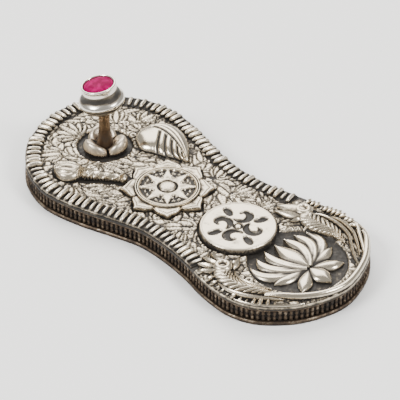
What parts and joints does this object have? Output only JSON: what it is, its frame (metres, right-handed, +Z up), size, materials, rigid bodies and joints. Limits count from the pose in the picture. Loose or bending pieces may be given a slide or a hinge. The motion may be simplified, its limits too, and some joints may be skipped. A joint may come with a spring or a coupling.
{
  "type": "paduka toe knob sandal",
  "caption": "Flat miniature toe knob sandal in oxidised silver: reeded sole, roped edge, relief lotus, birds, sun and shell, and a turned toe knob set with a round stone.",
  "frame": {"origin": "middle of the sole's flat underside", "axes": "+Y towards the toe, +X towards the big-toe side, +Z up out of the footbed"},
  "size_m": [0.041, 0.0884, 0.0216],
  "materials": {
    "oxidised_silver": "silver-plated cast metal, dark patina in the hollows and rubbed bright on the ridges",
    "dark_silver": "silver-plated cast metal with heavy brown-black patina",
    "polished_silver": "silver-plated turned metal, polished",
    "ruby_stone": "ruby-pink glass stone, polished"
  },
  "bodies": {
    "root": {"sole": "dark_silver", "footbed": "oxidised_silver", "rope_border": "oxidised_silver", "heel_rim": "oxidised_silver", "sun_medallion": "oxidised_silver", "round_disc": "oxidised_silver", "lotus": "oxidised_silver", "bird_left": "oxidised_silver", "bird_right": "oxidised_silver", "conch": "oxidised_silver", "mace": "oxidised_silver", "petal_cup": "polished_silver", "knob_stem": "polished_silver", "knob_head": "polished_silver", "bezel": "polished_silver", "stone": "ruby_stone"}
  },
  "joints": []
}
